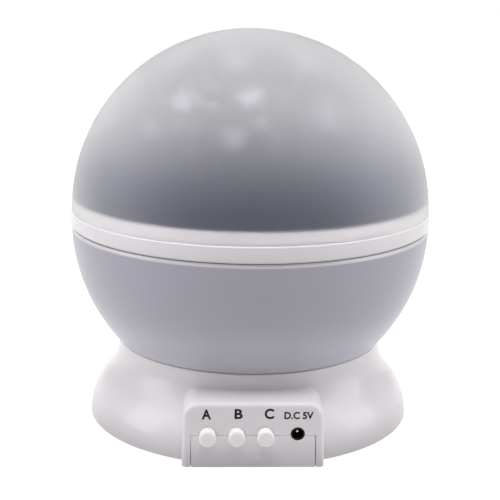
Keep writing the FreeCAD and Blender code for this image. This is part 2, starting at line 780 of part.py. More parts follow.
def corePlatform():
    disc = rod("platform_disc", "platform_radius", "platform_thick", z="post_top")
    holes = [rod("platform_eye", "post_bore", "6", z="post_top - 2")]
    holes += [rod("platform_hole", "0.79", "6", x, y, "post_top - 2") for x, y in towerScrewSpots]
    holes += [rod("motor_pilot", "1.02", "6", x, y, "post_top - 2") for x, y in motorScrewSpots]
    holes.append(rod("motor_seat", "3.05", "6", y=axleDistance, z="post_top - 2"))
    return less("core_platform", disc, holes)


def gearMotor():
    low = platformTop
    solid = [
        rod("motor_can", "motor_radius", "motor_tall", y=axleDistance, z=low),
        block("motor_ears", "-18.5", "18.5", f"{axleDistance} - 3.5", f"{axleDistance} + 3.5", low, f"{low} + 1"),
        rod("motor_nose", "3.0", "platform_thick", y=axleDistance, z="post_top"),
        block("motor_terminals", "motor_radius - 1", "motor_radius + 2", f"{axleDistance} - 3", f"{axleDistance} + 3",
              f"{low} + 4", f"{low} + 8"),
    ]
    holes = [rod("motor_bore", "shaft_radius + shaft_play", "14", y=axleDistance, z="post_top - 2")]
    holes += [rod("ear_hole", "1.03", "6", x, y, f"{low} - 2") for x, y in motorScrewSpots]
    return less("gear_motor", joined("motor_blank", solid), holes)


def motorScrews():
    seat = f"{platformTop} + 1"
    return grouped("motor_screws", [
        panScrew("motor_screw", x, y, seat, "1.9", "1.2", "1.0", "2.9") for x, y in motorScrewSpots
    ])


def ledTower():
    low = platformTop
    tube = turned("tower_tube", [
        ("post_bore", low),
        ("tower_radius", low),
        ("tower_radius", "tower_top"),
        ("tower_radius - tower_wall", "tower_top"),
        ("tower_radius - tower_wall", f"{low} + 1.5"),
        ("post_bore", f"{low} + 1.5"),
    ])
    bosses = [rod("tower_boss", "2.2", "10", x, y, "tower_top - 10") for x, y in ledScrewSpots]
    holes = [rod("tower_hole", "0.79", "4", x, y, f"{low} - 1") for x, y in towerScrewSpots]
    holes += [rod("tower_pilot", "0.77", "7", x, y, "tower_top - 7") for x, y in ledScrewSpots]
    sideways = Rotation(Vector(0, 0, 1), Vector(1, 1, 0))
    holes.append(rod("tower_gate", "1.6", "8", "4", "4", wireGateHeight, sideways))
    return less("led_tower", joined("tower_blank", [tube] + bosses), holes)


def towerScrews():
    seat = f"{platformTop} + 1.5"
    return grouped("tower_screws", [
        panScrew("tower_screw", x, y, seat, "1.7", "1.1", "0.75", "8.8") for x, y in towerScrewSpots
    ])


def ledBoard():
    disc = rod("led_disc", "tower_radius", "1.2", z="tower_top")
    holes = [rod("led_hole", "0.8", "4", x, y, "tower_top - 1") for x, y in ledScrewSpots]
    return less("led_board", disc, holes)


def ledLamps():
    low = "tower_top + 1.2"
    lamps = []
    for x in ("2.4", "-2.4"):
        for y in ("2.4", "-2.4"):
            lamp = turned("lamp", [
                ("0", "0"),
                ("1.8", "0"),
                ("1.8", "0.6"),
                ("1.5", "0.6"),
                ("1.5", "2.5", "1.5", 1),
                ("0", "4"),
            ])
            lamps.append(place(lamp, x, y, low))
    return grouped("led_lamps", lamps)


def ledBoardScrews():
    seat = "tower_top + 1.2"
    return grouped("led_board_screws", [
        panScrew("led_screw", x, y, seat, "1.4", "0.9", "0.75", "6.5") for x, y in ledScrewSpots
    ])


# ---------------------------------------------------------------- gears


def involute(angle):
    return math.tan(angle) - angle


def gearWheel(name, teeth, low, addendum, y):
    """A spur gear with involute flanks, thinned by half the backlash, one tooth centred on +Y."""
    module, pressure = value("gear_module"), math.radians(20)
    pitch = module * teeth / 2
    base, tip, root = pitch * math.cos(pressure), pitch + addendum * module, pitch - 1.25 * module
    half = math.pi / (2 * teeth) - value("backlash") / (4 * pitch)
    begin = max(base, root)
    radii = [begin + (tip - begin) * step / 4 for step in range(5)]
    halves = [half + involute(pressure) - involute(math.acos(base / max(radius, base))) for radius in radii]

    def spot(radius, angle):
        return Vector(radius * math.sin(angle), radius * math.cos(angle), 0)

    edges = []
    for tooth in range(teeth):
        centre = 2 * math.pi * tooth / teeth
        rising = Part.BSplineCurve()
        rising.interpolate([spot(radius, centre - turn) for radius, turn in zip(radii, halves)])
        falling = Part.BSplineCurve()
        falling.interpolate([spot(radius, centre + turn) for radius, turn in zip(reversed(radii), reversed(halves))])
        crest = Part.Arc(spot(tip, centre - halves[-1]), spot(tip, centre), spot(tip, centre + halves[-1]))
        left, right = spot(root, centre - halves[0]), spot(root, centre + halves[0])
        if begin > root:
            edges.append(Part.LineSegment(left, spot(begin, centre - halves[0])).toShape())
        edges += [rising.toShape(), crest.toShape(), falling.toShape()]
        if begin > root:
            edges.append(Part.LineSegment(spot(begin, centre + halves[0]), right).toShape())
        gap = centre + math.pi / teeth
        following = spot(root, centre + 2 * math.pi / teeth - halves[0])
        edges.append(Part.Arc(right, spot(root, gap), following).toShape())
    face = Part.Face(Part.Wire(Part.__sortEdges__(edges)))
    wheel = doc.addObject("Part::Feature", name)
    wheel.Shape = face.extrude(Vector(0, 0, value("gear_thick")))
    return place(wheel, "0", y, low)


gearLow = "bowl_bottom + bowl_floor"
gearTop = "bowl_bottom + bowl_floor + gear_thick"
gearScrewSpots = around(3, "16", 90)


def hubGear():
    wheel = gearWheel("hub_gear_blank", int(value("gear_teeth")), gearLow, 0.9, "0")
    holes = [rod("gear_eye", "hub_radius + 0.1", "9", z=f"{gearLow} - 2")]
    holes += [rod("gear_hole", "1.03", "9", x, y, f"{gearLow} - 2") for x, y in gearScrewSpots]
    return less("hub_gear", wheel, holes)


def gearScrews():
    return grouped("gear_screws", [
        panScrew("gear_screw", x, y, gearTop, "1.9", "1.2", "1.0", "gear_thick + 1.3") for x, y in gearScrewSpots
    ])


def drivePinion():
    """Its number of teeth is odd, so that a gap faces the hub gear's tooth."""
    wheel = gearWheel("pinion_blank", int(value("pinion_teeth")), f"{gearLow} + 0.3", 0.9, axleDistance)
    eye = rod("pinion_eye", "shaft_radius", "9", y=axleDistance, z=f"{gearLow} - 2")
    return less("drive_pinion", wheel, [eye])


def motorShaft():
    low = f"{gearLow} + 0.3"
    return rod("motor_shaft", "shaft_radius", f"post_top + 11 - ({low})", y=axleDistance, z=low)


# ---------------------------------------------------------------- globe

deckTop = "deck_bottom + deck_thick"
deckScrewSpots = around(4, "deck_screw_circle", 45)


def onSphere(radius, centre, height):
    """The radius of a sphere's circle at a height, as an expression."""
    return f"sqrt(({radius})^2 - (({centre}) - ({height}))^2)"


def lowerBowl():
    inner = "bowl_radius - bowl_wall"
    neckBore = "neck_radius - bowl_wall"
    neckTop = f"bowl_centre - sqrt(({inner})^2 - ({neckBore})^2)"
    wall = turned("bowl_turned", [
        (onSphere("bowl_radius", "bowl_centre", "shoulder_height"), "shoulder_height", "bowl_radius", 1),
        (onSphere("bowl_radius", "bowl_centre", "bowl_rim - rim_tall"), "bowl_rim - rim_tall", "1.2 * rim_tall", 1),
        ("bowl_radius - rim_deep", "bowl_rim"),
        (onSphere(inner, "bowl_centre", "bowl_rim"), "bowl_rim", inner, -1),
        (neckBore, neckTop),
        (neckBore, gearLow),
        ("hub_radius", gearLow),
        ("hub_radius", "hub_top"),
        ("post_radius + hub_play", "hub_top"),
        ("post_radius + hub_play", "bowl_bottom"),
        ("neck_radius - 0.8", "bowl_bottom"),
        ("neck_radius", "bowl_bottom + 0.8"),
        ("neck_radius", "shoulder_height"),
    ])
    columns = [rod("deck_column", "3", "deck_bottom - 30", x, y, "30") for x, y in deckScrewSpots]
    ball = doc.addObject("Part::Sphere", "column_limit")
    place(bind(ball, Radius="bowl_radius - 1"), z="bowl_centre")
    bosses = shared("deck_bosses", [joined("deck_columns", columns), ball])
    holes = [rod("deck_pilot", "1.02", "11", x, y, "deck_bottom - 10") for x, y in deckScrewSpots]
    holes += [rod("gear_pilot", "1.02", "1.5", x, y, f"{gearLow} - 1.5") for x, y in gearScrewSpots]
    return less("lower_bowl", joined("bowl_bossed", [wall, bosses]), holes)


def deckPlate():
    disc = rod("deck_disc", "deck_radius", "deck_thick", z="deck_bottom")
    holes = [rod("deck_eye", "deck_hole", "6", z="deck_bottom - 2")]
    holes += [rod("deck_screw_hole", "1.04", "6", x, y, "deck_bottom - 2") for x, y in deckScrewSpots]
    return less("deck_plate", disc, holes)


def deckScrews():
    return grouped("deck_screws", [
        panScrew("deck_screw", x, y, deckTop, "2.0", "1.2", "1.0", "10") for x, y in deckScrewSpots
    ])


def collarRing():
    tongue, crest = "bowl_radius - bowl_wall - 0.2", "collar_radius - 0.28"
    return turned("collar_ring", [
        (tongue, "collar_bottom"),
        ("collar_radius - 0.9", "collar_bottom"),
        ("collar_radius - 0.05", "collar_bottom + 0.7"),
        ("collar_radius", "collar_bottom + 1.6", "collar_bow", 1),
        (f"{crest}", "collar_top - collar_round", "collar_round", 1),
        (f"{crest} - collar_round", "collar_top"),
        ("spigot_radius", "collar_top"),
        ("spigot_radius", "spigot_top - 0.5", "0.5", 1),
        ("spigot_radius - 0.5", "spigot_top"),
        ("spigot_bore", "spigot_top"),
        ("spigot_bore", "deck_bottom"),
        ("ledge_bore", "deck_bottom"),
        ("ledge_bore", "deck_bottom - 1.5"),
        (tongue, "deck_bottom - 1.5"),
    ])


def dome(name, radius, wall, low, flange):
    """A hemisphere shell down to a level, on a flat rim or a flange."""
    inner = f"{radius} - {wall}"
    rim = [(onSphere(inner, "globe_centre", low), low)]
    start = low
    if flange:
        start = f"{low} + 1.2"
        rim += [(flange, low), (flange, start)]
    return turned(name, rim + [
        (onSphere(radius, "globe_centre", start), start, radius, 1),
        ("0", f"globe_centre + {radius}"),
        ("0", f"globe_centre + {inner}", inner, -1),
    ])


# ---------------------------------------------------------------- wires

wireGateHeight = "post_top + platform_thick + 6.3"


def wirePath(points):
    """Straight runs joined by tangent arcs, each as large as its two runs allow."""
    spots = [Vector(*point) for point in points]
    edges, start = [], spots[0]
    for before, corner, after in zip(spots, spots[1:], spots[2:]):
        inward, outward = (before - corner), (after - corner)
        turn = math.pi - inward.getAngle(outward)
        cut = 0.45 * min(inward.Length, outward.Length)
        first = corner + inward.normalize() * cut
        last = corner + outward.normalize() * cut
        bisector = (inward + outward).normalize()
        radius = cut / math.tan(turn / 2)
        centre = corner + bisector * (radius / math.cos(turn / 2))
        middle = centre - bisector * radius
        edges.append(Part.LineSegment(start, first).toShape())
        edges.append(Part.Arc(first, middle, last).toShape())
        start = last
    edges.append(Part.LineSegment(start, spots[-1]).toShape())
    return Part.Wire(edges)


def strands(name, routes):
    tubes = []
    for points in routes:
        path = wirePath(points)
        heading = Vector(*points[1]) - Vector(*points[0])
        section = Part.Wire([Part.makeCircle(value("wire_radius"), Vector(*points[0]), heading)])
        tube = doc.addObject("Part::Feature", name + "_strand")
        tube.Shape = path.makePipeShell([section], True, True)
        tube.Placement = Placement()
        tubes.append(tube)
    return grouped(name, tubes)


boardBack = -(value("board_front") - value("board_thick"))
channelHeight = 9.0  # wires run back between the two battery bays at this height
ledUnder = value("tower_top")
gateZ = value(wireGateHeight)


def ledWires():
    """Three strands from the control board, back under the dish, up the post and the tower to the lamps."""
    routes = []
    for step, (postX, postY) in zip((-1, 0, 1), ((-1.9, -0.9), (0.0, -2.1), (1.9, -0.9))):
        x = 1.9 * step
        routes.append([
            (x - 2, boardBack, 11.5),
            (x - 2, boardBack + 5, 11.5),
            (x, -33.0, channelHeight),
            (x, -18.0, channelHeight),
            (postX, postY - 0.4, channelHeight + 1),
            (postX, postY, 36.0),
            (postX, postY, ledUnder),
        ])
    return strands("led_wires", routes)


def motorWires():
    """Two strands up the post beside the lamp wires, out through the tower's side to the motor."""
    axle = value(axleDistance)
    terminalX = value("motor_radius") + 2
    terminalZ = value(platformTop) + 6
    routes = []
    for side in (1, -1):
        aside = 0.45 * side
        routes.append([
            (4.2 + aside, boardBack, 6.0),
            (4.2 + aside, boardBack + 5, 6.0),
            (0.6 + aside, -33.0, channelHeight - 3.2),
            (0.6 + aside, -14.0, channelHeight - 3.2),
            (1.5 + aside, 1.6 - aside, channelHeight + 2),
            (1.5 + aside, 1.6 - aside, gateZ - 1),
            (8.0 + aside, 8.0 - aside, gateZ),
            (16.0 + aside, 17.0 - aside, gateZ),
            (terminalX + 4.9 + 2.2 * aside, axle - 4, terminalZ),
            (terminalX + 2.6, axle + 1.2 * side, terminalZ),
            (terminalX, axle + 1.2 * side, terminalZ),
        ])
    return strands("motor_wires", routes)


def batteryWires():
    """One strand from each bay's front wall to the control board."""
    wall = -(value("bay_half") + value("bay_wall"))
    return strands("battery_wires", [
        [
            (side * 9.0, wall, 8.0),
            (side * 9.0, wall - 5, 8.0),
            (side * 8.6, wall - 12, 9.5),
            (side * 8.0, boardBack + 4, 9.0),
            (side * 8.0, boardBack, 9.0),
        ]
        for side in (1, -1)
    ])


def jackWires():
    across, high = value("jack_across"), value("jack_height")
    rear = -value("jack_rear")
    return strands("jack_wires", [
        [
            (across, rear + 3.2, high),
            (across, rear + 6.7, high),
            (across - 4.5, rear + 6.7, high - 2.6),
            (across - 4.5, boardBack, high - 2.6),
        ],
        [
            (across + 1.9, rear + 2, high),
            (across + 1.9, -38.5, high),
            (across - 6.0, -38.0, high - 5.0),
            (across - 6.0, boardBack + 3, high - 5.4),
            (across - 6.0, boardBack, high - 5.4),
        ],
    ])


# ---------------------------------------------------------------- assembly

pieces = {
    "base_shell": baseShell(),
    "bottom_cover": bottomCover(),
    "rubber_feet": rubberFeet(),
    "cover_screws": coverScrews(),
    "battery_door": batteryDoor(),
    "door_screws": doorScrews(),
    "battery_cells": batteryCells(),
    "battery_contacts": batteryContacts(),
    "battery_springs": batterySprings(),
    "control_board": controlBoard(),
    "board_screws": boardScrews(),
    "switch_bodies": switchBodies(),
    "control_chip": controlChip(),
    "dc_jack": dcJack(),
    "dc_jack_pin": dcJackPin(),
    "centre_post": centrePost(),
    "post_screws": postScrews(),
    "lower_washer": washer("lower_washer", flangeTop),
    "upper_washer": washer("upper_washer", "hub_top + seam"),
    "retaining_clip": retainingClip(),
    "core_platform": corePlatform(),
    "gear_motor": gearMotor(),
    "motor_screws": motorScrews(),
    "led_tower": ledTower(),
    "tower_screws": towerScrews(),
    "led_board": ledBoard(),
    "led_lamps": ledLamps(),
    "led_board_screws": ledBoardScrews(),
    "hub_gear": hubGear(),
    "gear_screws": gearScrews(),
    "drive_pinion": drivePinion(),
    "motor_shaft": motorShaft(),
    "lower_bowl": lowerBowl(),
    "deck_plate": deckPlate(),
    "deck_screws": deckScrews(),
    "collar_ring": collarRing(),
    "star_dome": dome("star_dome", "dome_radius", "dome_wall", deckTop, "dome_flange"),
    "frosted_cover": dome("frosted_cover", "globe_radius", "cover_wall", "collar_top + seam", None),
    "led_wires": ledWires(),
    "motor_wires": motorWires(),
    "battery_wires": batteryWires(),
    "jack_wires": jackWires(),
}
for letter, spot in zip("abc", buttonSpots):
    pieces[f"button_{letter}"] = buttonCap(f"button_{letter}", spot)
    pieces[f"plunger_{letter}"] = plunger(f"plunger_{letter}", spot)

doc.recompute()

broken = [item.Name for item in doc.Objects if {"Invalid", "Error"} & set(item.State)]
for node, piece in pieces.items():
    piece.Label = node
    if piece.Shape.isNull() or not piece.Shape.isValid() or not piece.Shape.Solids:
        broken.append(node)
if broken:
    raise RuntimeError("these did not build: " + ", ".join(broken))

os.makedirs("parts", exist_ok=True)
for node, piece in pieces.items():
    piece.Shape.exportStep(f"parts/{node}.step")
print(len(pieces), "pieces written")
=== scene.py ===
# Rotating star projector night light: finishes, lettering, star windows, camera and light.
import json
import math
import random

import bmesh
import bpy
from mathutils import Matrix, Vector


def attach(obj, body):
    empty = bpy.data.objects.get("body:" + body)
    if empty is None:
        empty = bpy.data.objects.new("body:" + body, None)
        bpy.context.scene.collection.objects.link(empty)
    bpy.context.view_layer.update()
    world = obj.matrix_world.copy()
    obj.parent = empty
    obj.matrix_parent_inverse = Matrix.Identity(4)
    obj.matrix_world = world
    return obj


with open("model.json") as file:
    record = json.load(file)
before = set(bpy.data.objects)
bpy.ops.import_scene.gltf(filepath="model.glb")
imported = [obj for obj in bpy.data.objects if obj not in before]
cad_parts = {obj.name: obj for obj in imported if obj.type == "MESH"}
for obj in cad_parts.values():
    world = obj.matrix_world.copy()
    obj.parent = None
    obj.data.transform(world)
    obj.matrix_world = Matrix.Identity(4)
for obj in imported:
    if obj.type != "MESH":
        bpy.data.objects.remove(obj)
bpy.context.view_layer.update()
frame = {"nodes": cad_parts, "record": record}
nodes = frame["nodes"]
slotOf = {row["node"]: row["material_slot"] for row in frame["record"]["subparts"]}
mm = 0.001
print("frame loaded,", len(nodes), "nodes")


# small helpers for objects and node trees
def addObject(name, data):
    added = bpy.data.objects.new(name, data)
    bpy.context.scene.collection.objects.link(added)
    return added


def meshObject(name, mesh):
    data = bpy.data.meshes.new(name)
    mesh.to_mesh(data)
    mesh.free()
    return addObject(name, data)


def addNode(tree, kind, **settings):
    node = tree.nodes.new(kind)
    for field, setting in settings.items():
        setattr(node, field, setting)
    return node


def setInputs(node, settings):
    for label, setting in settings.items():
        node.inputs[label].default_value = setting


def feed(tree, socket, source):  # a link, a colour or a plain number
    if isinstance(source, bpy.types.NodeSocket):
        tree.links.new(source, socket)
    elif isinstance(source, tuple):
        socket.default_value = (*source, 1)
    else:
        socket.default_value = source


def mathNode(tree, operation, first, second=0.0, clamp=False):
    node = addNode(tree, "ShaderNodeMath", operation=operation, use_clamp=clamp)
    feed(tree, node.inputs[0], first)
    feed(tree, node.inputs[1], second)
    return node.outputs[0]


def mixColor(tree, factor, first, second, blend="MIX"):
    node = addNode(tree, "ShaderNodeMix", data_type="RGBA", blend_type=blend)
    feed(tree, node.inputs[0], factor)
    feed(tree, node.inputs[6], first)  # 6, 7 and output 2 are the node's colour sockets
    feed(tree, node.inputs[7], second)
    return node.outputs[2]


def rangeNode(tree, source, low, high, toLow=0.0, toHigh=1.0, smooth=False):
    node = addNode(tree, "ShaderNodeMapRange", interpolation_type="SMOOTHSTEP" if smooth else "LINEAR")
    tree.links.new(source, node.inputs[0])
    for index, bound in enumerate((low, high, toLow, toHigh), start=1):
        node.inputs[index].default_value = bound
    return node.outputs[0]


def objectPlace(tree):
    return addNode(tree, "ShaderNodeTexCoord").outputs["Object"]


def placeAlong(tree, axis):
    axes = addNode(tree, "ShaderNodeSeparateXYZ")
    tree.links.new(objectPlace(tree), axes.inputs[0])
    return axes.outputs[axis]


def stretched(tree, scale, turn=(0, 0, 0)):
    mapping = addNode(tree, "ShaderNodeMapping")
    setInputs(mapping, {"Scale": scale, "Rotation": turn})
    tree.links.new(objectPlace(tree), mapping.inputs["Vector"])
    return mapping.outputs[0]


def noiseNode(tree, vector, scale, detail=2.0, rough=0.5):
    node = addNode(tree, "ShaderNodeTexNoise")
    setInputs(node, {"Detail": detail, "Roughness": rough})
    feed(tree, node.inputs["Scale"], scale)
    tree.links.new(vector, node.inputs["Vector"])
    return node.outputs[0]


noiseSpan = (0.3, 0.7)  # where nearly all of the noise lies


def patches(tree, scale, detail, span):
    return rangeNode(tree, noiseNode(tree, objectPlace(tree), scale, detail), *noiseSpan, *span)


def unevenness(tree, vector, noise, amount):
    centred = mathNode(tree, "SUBTRACT", noiseNode(tree, vector, *noise), 0.5)  # 0.5 is the noise's middle
    return mathNode(tree, "MULTIPLY", centred, amount)


numberSocket = "NodeSocketFloat"
colorSocket = "NodeSocketColor"


def startGroup(name, entries):
    group = bpy.data.node_groups.new(name, "ShaderNodeTree")
    for label, kind, default in entries:
        group.interface.new_socket(label, in_out="INPUT", socket_type=kind).default_value = default
    for label, kind in (("Color", colorSocket), ("Roughness", numberSocket), ("Height", numberSocket)):
        group.interface.new_socket(label, in_out="OUTPUT", socket_type=kind)
    return group, addNode(group, "NodeGroupInput").outputs, addNode(group, "NodeGroupOutput").inputs


def endGroup(group, leave, color, gloss, height):
    for label, source in (("Color", color), ("Roughness", gloss), ("Height", height)):
        group.links.new(source, leave[label])
    return group


# moulded plastic: slow tint drift, patchy gloss, fine tool grain and a few hairline marks
mouldedDetail = {
    "cloud": (34.0, 3.0, 0.5), "haze": (150.0, 4.0, 0.6),  # scale, detail and roughness of the noise
    "tintSwing": 2.0, "hair": (1.0, 1.0), "hairStretch": (900, 70, 900), "hairTurn": (0.3, 0.5, 0.9),
    "hairEdge": (0.70, 0.74), "markDulling": 0.15, "markDepth": 0.5,
}


def mouldedGroup():
    group, given, leave = startGroup("mouldedPlastic", [
        ("Color", colorSocket, (0.8, 0.8, 0.8, 1)),
        ("Mottle", numberSocket, 0.02),
        ("Roughness", numberSocket, 0.3),
        ("Spread", numberSocket, 0.06),
        ("Grain", numberSocket, 2200.0),
        ("Marks", numberSocket, 0.3),
    ])
    place = objectPlace(group)
    drift = unevenness(group, place, mouldedDetail["cloud"], given["Mottle"])
    value = mathNode(group, "ADD", mathNode(group, "MULTIPLY", drift, mouldedDetail["tintSwing"]), 1.0)
    tint = addNode(group, "ShaderNodeHueSaturation")
    group.links.new(given["Color"], tint.inputs["Color"])
    group.links.new(value, tint.inputs["Value"])
    grid = stretched(group, mouldedDetail["hairStretch"], mouldedDetail["hairTurn"])
    hair = noiseNode(group, grid, *mouldedDetail["hair"])
    line = rangeNode(group, hair, *mouldedDetail["hairEdge"], smooth=True)
    mark = mathNode(group, "MULTIPLY", line, given["Marks"])
    dulling = mathNode(group, "MULTIPLY", mark, mouldedDetail["markDulling"])
    patch = unevenness(group, place, mouldedDetail["haze"], given["Spread"])
    gloss = mathNode(group, "ADD", mathNode(group, "ADD", given["Roughness"], patch), dulling, clamp=True)
    groove = mathNode(group, "MULTIPLY", mark, mouldedDetail["markDepth"])
    height = mathNode(group, "SUBTRACT", noiseNode(group, place, given["Grain"]), groove)
    return endGroup(group, leave, tint.outputs[0], gloss, height)


# drawn or turned metal: streaks along one way, with dull patches
metalDetail = {
    "streakStretch": (3000, 3000, 180), "streakGloss": 0.05, "dull": (420.0, 4.0), "dullEdge": (0.45, 0.75),
    "dullColor": (0.32, 0.31, 0.29), "dullGloss": 0.4,
}


def metalGroup():
    group, given, leave = startGroup("workedMetal", [
        ("Color", colorSocket, (0.6, 0.6, 0.6, 1)),
        ("Roughness", numberSocket, 0.35),
        ("Dulling", numberSocket, 0.25),
    ])
    streak = noiseNode(group, stretched(group, metalDetail["streakStretch"]), 1.0)
    cloud = noiseNode(group, objectPlace(group), *metalDetail["dull"])
    dull = mathNode(group, "MULTIPLY", rangeNode(group, cloud, *metalDetail["dullEdge"]), given["Dulling"])
    shade = mixColor(group, dull, given["Color"], metalDetail["dullColor"])
    dulling = mathNode(group, "MULTIPLY", dull, metalDetail["dullGloss"])
    swing = rangeNode(group, streak, 0, 1, -metalDetail["streakGloss"], metalDetail["streakGloss"])
    gloss = mathNode(group, "ADD", mathNode(group, "ADD", given["Roughness"], dulling), swing, clamp=True)
    return endGroup(group, leave, shade, gloss, streak)


mouldedPlastic = mouldedGroup()
workedMetal = metalGroup()


def startMaterial(name):
    material = bpy.data.materials.new(name)
    material.use_nodes = True
    return material, material.node_tree, material.node_tree.nodes["Principled BSDF"]


def dress(tree, shader, color, gloss, height, depth):
    tree.links.new(color, shader.inputs["Base Color"])
    tree.links.new(gloss, shader.inputs["Roughness"])
    bump = addNode(tree, "ShaderNodeBump")
    setInputs(bump, {"Strength": 1.0, "Distance": depth})
    tree.links.new(height, bump.inputs["Height"])
    tree.links.new(bump.outputs[0], shader.inputs["Normal"])


def dressFrom(tree, shader, group, finish):
    made = group.outputs
    dress(tree, shader, made["Color"], made["Roughness"], made["Height"], finish["depth"])
    setInputs(shader, finish.get("sockets", {}))


def placeMoulded(tree, finish, color, roughness):
    group = addNode(tree, "ShaderNodeGroup", node_tree=mouldedPlastic)
    setInputs(group, {"Mottle": finish["mottle"], "Spread": finish["spread"], "Grain": finish["grain"],
                      "Marks": finish["marks"]})
    feed(tree, group.inputs["Color"], color)
    feed(tree, group.inputs["Roughness"], roughness)
    return group


def plasticMaterial(name, finish):
    material, tree, shader = startMaterial(name)
    shade = finish["color"]
    for start, end, tint in finish.get("bands", ()):
        share = rangeNode(tree, placeAlong(tree, "Z"), start * mm, end * mm, smooth=True)
        shade = mixColor(tree, share, shade, tint)
    dressFrom(tree, shader, placeMoulded(tree, finish, shade, finish["roughness"]), finish)
    return material


def metalMaterial(name, finish):
    material, tree, shader = startMaterial(name)
    group = addNode(tree, "ShaderNodeGroup", node_tree=workedMetal)
    feed(tree, group.inputs["Color"], finish["color"])
    setInputs(group, {"Roughness": finish["roughness"], "Dulling": finish["dulling"]})
    dressFrom(tree, shader, group, finish)
    shader.inputs["Metallic"].default_value = 1.0
    return material


# the outer mouldings; bands blend another tint in from one height to another, in mm
shellFinish = {
    "color": (0.775, 0.735, 0.77), "mottle": 0.02, "roughness": 0.33, "spread": 0.06, "grain": 2400.0,
    "marks": 0.06, "depth": 0.000004,
    "bands": [
        # painted shade: the moulding darker towards the foot, from 12 mm down
        (12.0, -1.0, (0.53, 0.50, 0.525)),
        # painted highlight: paler from the collar's top edge up
        (74.0, 74.3, (0.91, 0.88, 0.905)),
        # painted light: the spigot paler still, so it shows brighter through the cover
        (74.8, 75.0, (0.95, 0.93, 0.95)),
    ],
    "sockets": {"Specular IOR Level": 0.3, "Coat Weight": 0.32, "Coat Roughness": 0.12},
}
bowlFinish = {
    "color": (0.40, 0.39, 0.455), "mottle": 0.03, "roughness": 0.34, "spread": 0.06, "grain": 2000.0,
    "marks": 0.1, "depth": 0.000005,
    "bands": [
        # painted light: the lower bowl paler, as if lit from below
        (50.0, 27.0, (0.50, 0.49, 0.55)),
        # painted highlight along the bowl's rim under the collar
        (67.3, 68.4, (0.74, 0.72, 0.76)),
        # painted shadow in the seam under the collar
        (68.8, 69.0, (0.20, 0.19, 0.21)),
    ],
}
buttonFinish = {
    "color": (0.88, 0.83, 0.84), "mottle": 0.02, "roughness": 0.32, "spread": 0.05, "grain": 2600.0,
    "marks": 0.05, "depth": 0.000003,
}
jackFinish = {
    "color": (0.004, 0.004, 0.005), "mottle": 0.1, "roughness": 0.34, "spread": 0.06, "grain": 2600.0,
    "marks": 0.2, "depth": 0.000003, "sockets": {"Specular IOR Level": 0.25},
}
rubberFinish = {
    "color": (0.16, 0.16, 0.165), "mottle": 0.15, "roughness": 0.78, "spread": 0.10, "grain": 1500.0,
    "marks": 0.0, "depth": 0.00003,
}
# inside the globe and the base
coreFinish = {
    "color": (0.72, 0.72, 0.74), "mottle": 0.04, "roughness": 0.46, "spread": 0.10, "grain": 1600.0,
    "marks": 0.3, "depth": 0.000008,
}
nylonFinish = {
    "color": (0.78, 0.75, 0.66), "mottle": 0.05, "roughness": 0.42, "spread": 0.10, "grain": 1800.0,
    "marks": 0.4, "depth": 0.000006, "sockets": {"Subsurface Weight": 0.2, "Subsurface Scale": 0.001},
}
switchFinish = {
    "color": (0.02, 0.02, 0.022), "mottle": 0.2, "roughness": 0.5, "spread": 0.1, "grain": 2400.0,
    "marks": 0.2, "depth": 0.000008,
}
wireFinish = {
    "mottle": 0.06, "roughness": 0.4, "spread": 0.1, "grain": 3000.0,
    "marks": 0.2, "depth": 0.000006,
}
wireColors = {
    "wire_red": (0.52, 0.035, 0.03),
    "wire_white": (0.78, 0.78, 0.75),
    "wire_blue": (0.04, 0.10, 0.42),
    "wire_black": (0.02, 0.02, 0.02),
}
zincFinish = {"color": (0.62, 0.62, 0.61), "roughness": 0.34, "dulling": 0.3, "depth": 0.000006}
nickelFinish = {"color": (0.70, 0.66, 0.58), "roughness": 0.34, "dulling": 0.15, "depth": 0.000003}
motorFinish = {"color": (0.60, 0.60, 0.58), "roughness": 0.40, "dulling": 0.35, "depth": 0.000008}

materials = {
    "shell_white": plasticMaterial("whiteMoulding", shellFinish),
    "bowl_lilac": plasticMaterial("lilacBowl", bowlFinish),
    "button_warm": plasticMaterial("warmButton", buttonFinish),
    "jack_black": plasticMaterial("blackSocket", jackFinish),
    "rubber_grey": plasticMaterial("footRubber", rubberFinish),
    "core_white": plasticMaterial("innerMoulding", coreFinish),
    "nylon_natural": plasticMaterial("naturalNylon", nylonFinish),
    "switch_black": plasticMaterial("switchCase", switchFinish),
    "screw_steel": metalMaterial("zincSteel", zincFinish),
    "contact_nickel": metalMaterial("nickelPlate", nickelFinish),
    "motor_steel": metalMaterial("motorCan", motorFinish),
}
for slotName, wireColor in wireColors.items():
    materials[slotName] = plasticMaterial(slotName + "Insulation", {"color": wireColor, **wireFinish})
print("plain finishes made,", len(materials))

# the frosted cover: milky plastic that blurs what stands behind it, with painted shade darker low down and
# paler towards the top, and a rim paled as painted light; heights in mm
coverFinish = {
    "color": (0.88, 0.87, 0.90), "low": (0.32, 0.335, 0.455), "lowTo": 115.0, "roughness": 0.62,
    "rim": (0.99, 0.97, 0.98), "rimTop": 79.4, "rimBelow": 1.2, "rimAbove": 0.8,
    "rimRough": 0.42, "rimFade": 12.0, "mottle": 0.03, "spread": 0.05, "grain": 1500.0,
    "marks": 0.15, "depth": 0.00001,
    "sockets": {
        "IOR": 1.49, "Transmission Weight": 0.92, "Specular IOR Level": 0.35,
        "Sheen Weight": 1.0, "Sheen Roughness": 0.51, "Sheen Tint": (1.0, 0.985, 0.975, 1),
    },
}


